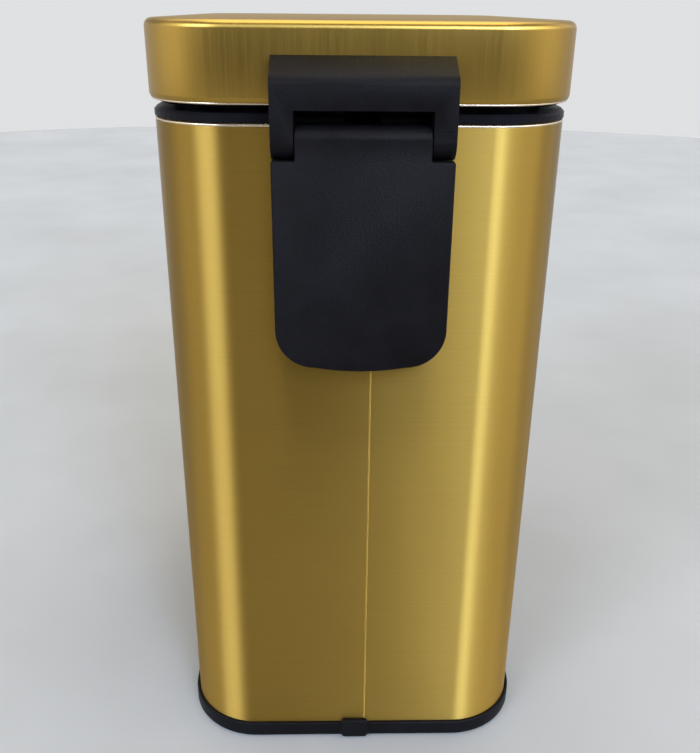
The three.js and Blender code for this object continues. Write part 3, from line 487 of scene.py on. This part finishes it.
# ---- lid ----
def make_lid():
    top = LID[1][2]
    low = LID[0][2]
    edge = LID_EDGE_R
    inner_edge = edge - SHEET
    centre = edge - LID_OVER
    lip = 262  # degrees at which the folded lower edge ends
    profile = [(centre, top - SHEET)] + arc(centre, top - edge, inner_edge, 90, 180, 8)
    profile += arc(centre, low + edge, inner_edge, 180, lip, 8)
    profile += arc(centre, low + edge, edge, lip, 180, 10)
    profile += arc(centre, top - edge, edge, 180, 90, 12)
    lid = swept("lid_cap", profile, MATERIAL["gold_lid"], capped=True)
    stands_for(lid, "lid_shell", "lid")


def add_highlight_line(name, inset, z, radius, body):
    """A thin round bead that runs all round a sheet's edge. It reflects the lights, and its pale cream
    colour paints the edge's highlight.
    """
    line = swept(name, arc(inset, z, radius, 0, 330, 11), MATERIAL["hem_highlight"])
    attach(line, body)


# the two hem lines are painted highlights: pale lines along the body's rolled top edge and the lid's
# lower edge
def make_edge_highlights():
    add_highlight_line("body_edge_highlight", 0.45 * MM, SHELL[1][2] - 0.8 * MM, 0.6 * MM, "bin")
    add_highlight_line("lid_edge_highlight", -0.6 * MM, LID[0][2] + 0.97 * MM, 0.5 * MM, "lid")


# ---- hinge ----
TONGUE_HALF = 25.7 * MM
COVER_CORNER = 16 * MM
COVER_CROWN = 1.6 * MM
COVER_WALL = 2.2 * MM
COVER_TOP_R = 4.6 * MM
TONGUE_WALL = 1.5 * MM
SHOULDER_Z = AXIS_Z - 7.6 * MM
POCKET_R = 8.5 * MM
POCKET_SIDES = 48
CRANK_WAY_HALF = 3.4 * MM


def cover_outline():
    """The shield seen from behind, as (x, z) points: a crowned foot, round corners, and a tongue."""
    half = COVER[1][0]
    bottom = COVER[0][2]
    top = COVER[1][2]
    corner = COVER_CORNER
    corner_z = bottom + COVER_CROWN + corner
    crown_steps = 12
    points = []
    for i in range(crown_steps):
        t = -1 + 2 * (i + 0.5) / crown_steps
        points.append((t * (half - corner), bottom + COVER_CROWN * t * t))
    points += arc(half - corner, corner_z, corner, -90, 0, 14)
    points += [(half, SHOULDER_Z), (TONGUE_HALF, SHOULDER_Z), (TONGUE_HALF, top)]
    points += [(-TONGUE_HALF, top), (-TONGUE_HALF, SHOULDER_Z), (-half, SHOULDER_Z)]
    points += arc(-half + corner, corner_z, corner, 180, 270, 14)
    return points


def round_cover_top(cover):
    back, face = COVER[0][1], COVER[1][1]
    bottom, top = COVER[0][2], COVER[1][2]
    margin = 5 * MM
    side = [(back - margin, bottom - margin), (face, bottom - margin)]
    side += arc(face - COVER_TOP_R, top - COVER_TOP_R, COVER_TOP_R, 0, 90, 10)
    side += [(back - margin, top)]
    half = 60 * MM
    combine(cover, prism("tool", side, "x", -half, half, MATERIAL["plastic"]), "INTERSECT")


def cut_arm_pockets(cover):
    """Round room beside the tongue, in which the bracket's arms turn."""
    half = COVER[1][0] + PAST
    last = 360 - 360 / POCKET_SIDES
    for x0, x1 in ((TONGUE_HALF, half), (-half, -TONGUE_HALF)):
        circle = arc(AXIS_Y, AXIS_Z, POCKET_R, 0, last, POCKET_SIDES - 1)
        cut(cover, prism("tool", circle, "x", x0, x1, MATERIAL["plastic"]))


def hollow_cover(cover):
    half = COVER[1][0]
    back, face = COVER[0][1], COVER[1][1]
    bottom, top = COVER[0][2], COVER[1][2]
    knee_z = AXIS_Z - 12 * MM
    tongue_z = top - 6.2 * MM
    foot_z = bottom + COVER_WALL + COVER_CROWN
    right = [
        (half - COVER_CORNER, foot_z),
        (half - COVER_WALL, bottom + COVER_CORNER),
        (half - COVER_WALL, knee_z),
        (TONGUE_HALF - COVER_WALL, knee_z),
        (TONGUE_HALF - COVER_WALL, tongue_z),
    ]
    left = [(-x, z) for x, z in reversed(right)]
    hollow = left[3:] + right + left[:3]
    cut(cover, prism("tool", hollow, "y", back - PAST, face - COVER_WALL, MATERIAL["plastic"]))
    way_low = (-CRANK_WAY_HALF, back - PAST, AXIS_Z - 6 * MM)
    way_high = (CRANK_WAY_HALF, AXIS_Y, top + PAST)
    cut(cover, box("tool", way_low, way_high, MATERIAL["plastic"]))
    ear_half = CRANK_WAY_HALF * 3.4
    ear_low = AXIS_Z - 8 * MM
    ear_high = top - TONGUE_WALL
    ears = [(-ear_half, ear_low), (ear_half, ear_low), (ear_half, ear_high), (-ear_half, ear_high)]
    cut(cover, prism("tool", ears, "y", back - PAST, AXIS_Y + 3.6 * MM, MATERIAL["plastic"]))


def make_cover():
    back, face = COVER[0][1], COVER[1][1]
    cover = prism("cover", cover_outline(), "y", back, face, MATERIAL["plastic"])
    round_cover_top(cover)
    cut_arm_pockets(cover)
    hollow_cover(cover)
    soften(cover, 0.7 * MM)
    stands_for(cover, "hinge_cover", "bin")


BAR_LOW = AXIS_Z + 10.5 * MM
BAR_EDGE_R = 4.5 * MM
BAR_EDGE_Z = AXIS_Z + 18.9 * MM
BAR_SLOPE = 22  # degrees by which the bracket's top falls away from the lid
ARM_W = 8.75 * MM
BRACKET_NEAR = BACK_Y + 2.1 * MM


def bar_side():
    """The bracket's bar seen from its side, as (y, z) points."""
    face = BRACKET[1][1]
    side = [(BRACKET_NEAR, BAR_LOW), (face, BAR_LOW), (face, BAR_EDGE_Z)]
    side += arc(face - BAR_EDGE_R, BAR_EDGE_Z, BAR_EDGE_R, 0, 90 - BAR_SLOPE, 10)[1:]
    side += [(BRACKET_NEAR, BRACKET[1][2])]
    return side


def arm_side():
    """One of the bracket's arms seen from its side, round about the hinge pin, as (y, z) points."""
    face = BRACKET[1][1]
    radius = face - AXIS_Y
    back = BACK_Y + 0.8 * MM
    step_z = AXIS_Z + 9.1 * MM
    arm_top = BAR_LOW + 4 * MM
    side = [(BRACKET_NEAR, arm_top), (BRACKET_NEAR, step_z), (back, step_z)]
    side += arc(AXIS_Y, AXIS_Z, radius - 0.5 * MM, 180, 270, 10)
    side += arc(AXIS_Y, AXIS_Z, radius, 270, 360, 14)
    side += [(face, arm_top)]
    return side


def make_bracket():
    half = BRACKET[1][0]
    bracket = prism("bracket", bar_side(), "x", -half, half, MATERIAL["plastic"])
    for x0 in (-half, half - ARM_W):
        arm = prism("tool", arm_side(), "x", x0, x0 + ARM_W, MATERIAL["plastic"])
        combine(bracket, arm, "UNION")
    soften(bracket, 0.8 * MM)
    stands_for(bracket, "lid_bracket", "lid")


# ---- carried-over CAD nodes ----
CORNERS = ("front_left", "front_right", "rear_left", "rear_right")
LOOKS = {
    "rim": ["rim_ring", "lid_liner"],
    "plastic": ["pedal_bezel"],
    "gold_body": ["pedal_plate"],
    "inner": ["base_floor", "inner_bucket", "damper_holder", "rod_head", "rod_foot", "rod_yoke"],
    "rubber": ["pedal_pad"] + [kind + corner for kind in ("foot_", "bumper_") for corner in CORNERS],
}


def dress_frame():
    """Every node that no list names is plain steel."""
    look_of = {node: look for look, nodes in LOOKS.items() for node in nodes}
    for name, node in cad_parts.items():
        look = MATERIAL[look_of.get(name, "steel")]
        for slot in node.material_slots:
            slot.material = look


# ---- stage, light and camera ----
FLOOR_RADIUS = 2.4
FLOOR_SIDES = 96


def make_stage():
    """A plain pale round floor."""
    n = Nodes("floor")
    pale = tones((0.26, 0.246, 0.208), (0.295, 0.28, 0.238))
    clouded = n.ramp(n.noise((5, 5, 5)), [(0.3, pale[0]), (0.7, pale[1])])
    n.link(clouded, n.shader.inputs["Base Color"])
    n.set(Roughness=0.8)
    bm = bmesh.new()
    turns = [2 * math.pi * i / FLOOR_SIDES for i in range(FLOOR_SIDES)]
    edge = [(FLOOR_RADIUS * math.cos(a), FLOOR_RADIUS * math.sin(a), 0) for a in turns]
    bm.faces.new([bm.verts.new(point) for point in edge])
    finish_mesh("floor", bm, n.material)


# Brightness of the studio all round, by degrees turned from +Y towards +X: the panels stand above
# the horizon, and the upper room is above the panels.
PANELS = [
    (-180, 0.3), (-135, 0.6), (-122, 2.0), (-102, 0.7), (-84, 3.1), (-66, 3.6), (-50, 5.0), (-41, 6.8),
    (-36, 4.4), (-31, 11.5), (-25, 16.0), (-16, 15.5), (-11, 2.4), (-6, 0.4), (-2, 0.05), (18, 0.05),
    (26, 1.5), (32, 9.5), (52, 9.5), (64, 1.8), (92, 1.5), (110, 0.4), (180, 0.3),
]
HORIZON = [
    (-180, 0.80), (-120, 0.70), (-75, 1.5), (-45, 0.60), (-15, 0.14), (15, 0.08), (45, 0.40), (75, 1.5),
    (120, 0.70), (180, 0.80),
]
UPPER_ROOM = [(-180, 2.2), (-125, 1.8), (-85, 0.3), (85, 0.3), (125, 1.8), (180, 2.2)]
OVERHEAD = 4.2  # brightness of the softbox straight above
BACKDROP = (0.74, 0.75, 0.76, 1)  # the pale wall that is seen behind the bin
CEILING_SIZE = 1.6
CEILING_WATTS = 2
CEILING_PLACE = (0, 0.3, 2.0)
CEILING_TARGET = (0, 0, 0)
GREENER = 0.02  # how fast bright light turns green and blue
BLUER = 0.07
PANELS_FROM = (0.18, 0.26)  # heights between which one light fades into the next, as sines
UPPER_FROM = (0.58, 0.70)
OVERHEAD_FROM = (0.91, 0.94)


def daylight(value):
    """A grey that turns cooler as it gets brighter."""
    return (value, value * (1 + GREENER * value), value * (1 + BLUER * value), 1)


def all_round(tree, share, brightness):
    """Light that changes with the direction round the object, from a list of degrees and brightness."""
    ramp = tree.nodes.new("ShaderNodeValToRGB")
    elements = ramp.color_ramp.elements
    for degrees, value in brightness[1:-1]:
        elements.new(degrees / 360 + 0.5).color = daylight(value)
    for end in (0, -1):
        elements[end].color = daylight(brightness[end][1])
    tree.links.new(share, ramp.inputs["Fac"])
    return ramp.outputs["Color"]


def above(tree, height, fade, below_colour, above_colour):
    """One colour below a height and another above it; heights are sines."""
    step = tree.nodes.new("ShaderNodeMapRange")
    step.inputs["From Min"].default_value = fade[0]
    step.inputs["From Max"].default_value = fade[1]
    tree.links.new(height, step.inputs["Value"])
    mix = tree.nodes.new("ShaderNodeMix")
    mix.data_type = "RGBA"
    tree.links.new(step.outputs["Result"], mix.inputs["Factor"])
    tree.links.new(below_colour, mix.inputs["A"])
    if isinstance(above_colour, tuple):
        mix.inputs["B"].default_value = above_colour
    else:
        tree.links.new(above_colour, mix.inputs["B"])
    return mix.outputs["Result"]


def make_world():
    """The studio's light, with a plain backdrop where the camera looks straight at it."""
    world = bpy.data.worlds.new("studio")
    world.use_nodes = True
    tree = world.node_tree
    place = tree.nodes.new("ShaderNodeTexCoord")
    split = tree.nodes.new("ShaderNodeSeparateXYZ")
    tree.links.new(place.outputs["Generated"], split.inputs["Vector"])
    around = tree.nodes.new("ShaderNodeMath")
    around.operation = "ARCTAN2"
    tree.links.new(split.outputs["X"], around.inputs[0])
    tree.links.new(split.outputs["Y"], around.inputs[1])
    share = tree.nodes.new("ShaderNodeMapRange")
    share.inputs["From Min"].default_value = -math.pi
    share.inputs["From Max"].default_value = math.pi
    tree.links.new(around.outputs[0], share.inputs["Value"])
    turn = share.outputs["Result"]
    height = split.outputs["Z"]
    horizon = all_round(tree, turn, HORIZON)
    room = above(tree, height, PANELS_FROM, horizon, all_round(tree, turn, PANELS))
    upper = above(tree, height, UPPER_FROM, room, all_round(tree, turn, UPPER_ROOM))
    softbox = (OVERHEAD, OVERHEAD, OVERHEAD, 1)
    lit = above(tree, height, OVERHEAD_FROM, upper, softbox)
    seen = tree.nodes.new("ShaderNodeMix")
    seen.data_type = "RGBA"
    path = tree.nodes.new("ShaderNodeLightPath")
    tree.links.new(path.outputs["Is Camera Ray"], seen.inputs["Factor"])
    tree.links.new(lit, seen.inputs["A"])
    seen.inputs["B"].default_value = BACKDROP
    tree.links.new(seen.outputs["Result"], tree.nodes["Background"].inputs["Color"])
    bpy.context.scene.world = world


def make_ceiling_light():
    """A soft square light high above, turned towards the object's foot."""
    data = bpy.data.lights.new("ceiling", "AREA")
    data.shape = "RECTANGLE"
    data.size, data.size_y = CEILING_SIZE, CEILING_SIZE
    data.energy = CEILING_WATTS
    lamp = bpy.data.objects.new("ceiling", data)
    lamp.location = CEILING_PLACE
    towards = Vector(CEILING_TARGET) - Vector(CEILING_PLACE)
    lamp.rotation_euler = towards.to_track_quat("-Z", "Y").to_euler()
    bpy.context.scene.collection.objects.link(lamp)


def make_camera():
    """Behind the bin, a little above its lid and turned down, as close as a hand-held phone.

    The focal length is in pixels, the sensor in millimetres and the turns in radians.
    """
    image_long_side = 753
    focal_px = 849.0
    sensor = 36
    pitch = 0.411
    yaw = 0.024
    roll = 0.009
    distance = 337.6 * MM
    height = 354.0 * MM
    aside = 12.0 * MM
    data = bpy.data.cameras.new("camera")
    data.sensor_width = sensor
    data.lens = focal_px / image_long_side * sensor
    camera = bpy.data.objects.new("camera", data)
    bpy.context.scene.collection.objects.link(camera)
    ahead = Vector((-math.sin(yaw), -math.cos(yaw), 0))
    right = Vector((-math.cos(yaw), math.sin(yaw), 0))
    up = Vector((0, 0, 1))
    look = math.cos(pitch) * ahead - math.sin(pitch) * up
    over = math.sin(pitch) * ahead + math.cos(pitch) * up
    across = math.cos(roll) * right + math.sin(roll) * over
    upwards = math.cos(roll) * over - math.sin(roll) * right
    axes = Matrix((across, upwards, -look)).transposed()
    camera.matrix_world = Matrix.Translation((aside, BACK_Y + distance, height)) @ axes.to_4x4()
    bpy.context.scene.camera = camera


bpy.context.scene.view_settings.view_transform = "Standard"
make_camera()
make_stage()
make_world()
make_ceiling_light()
dress_frame()
make_body()
make_weld_bead()
make_base_ring()
make_lid()
make_edge_highlights()
make_cover()
make_bracket()
